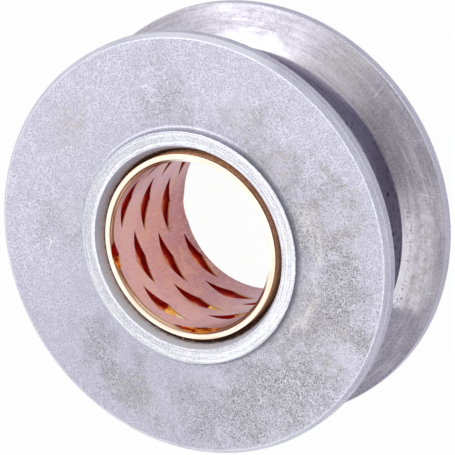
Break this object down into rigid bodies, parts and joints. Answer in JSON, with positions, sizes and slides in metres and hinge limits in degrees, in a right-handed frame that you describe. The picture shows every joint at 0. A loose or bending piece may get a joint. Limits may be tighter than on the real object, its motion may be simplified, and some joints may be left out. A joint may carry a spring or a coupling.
{
  "type": "v groove wheel",
  "caption": "Flanged steel wheel with a wide V groove round its rim, a raised hub, and a bronze bushing with lubrication pockets pressed into its bore.",
  "frame": {"origin": "centre of the bore, midway between the two hub faces", "axes": "+Z along the axle, out of the face that lies upward; the wheel lies flat on its lower hub face"},
  "size_m": [0.1, 0.1, 0.038],
  "materials": {
    "wheel_steel": "shot-blasted and turned steel, bare",
    "bushing_bronze": "rolled bronze, copper coloured in the pockets"
  },
  "bodies": {
    "root": {"wheel": "wheel_steel", "bushing": "bushing_bronze"}
  },
  "joints": []
}
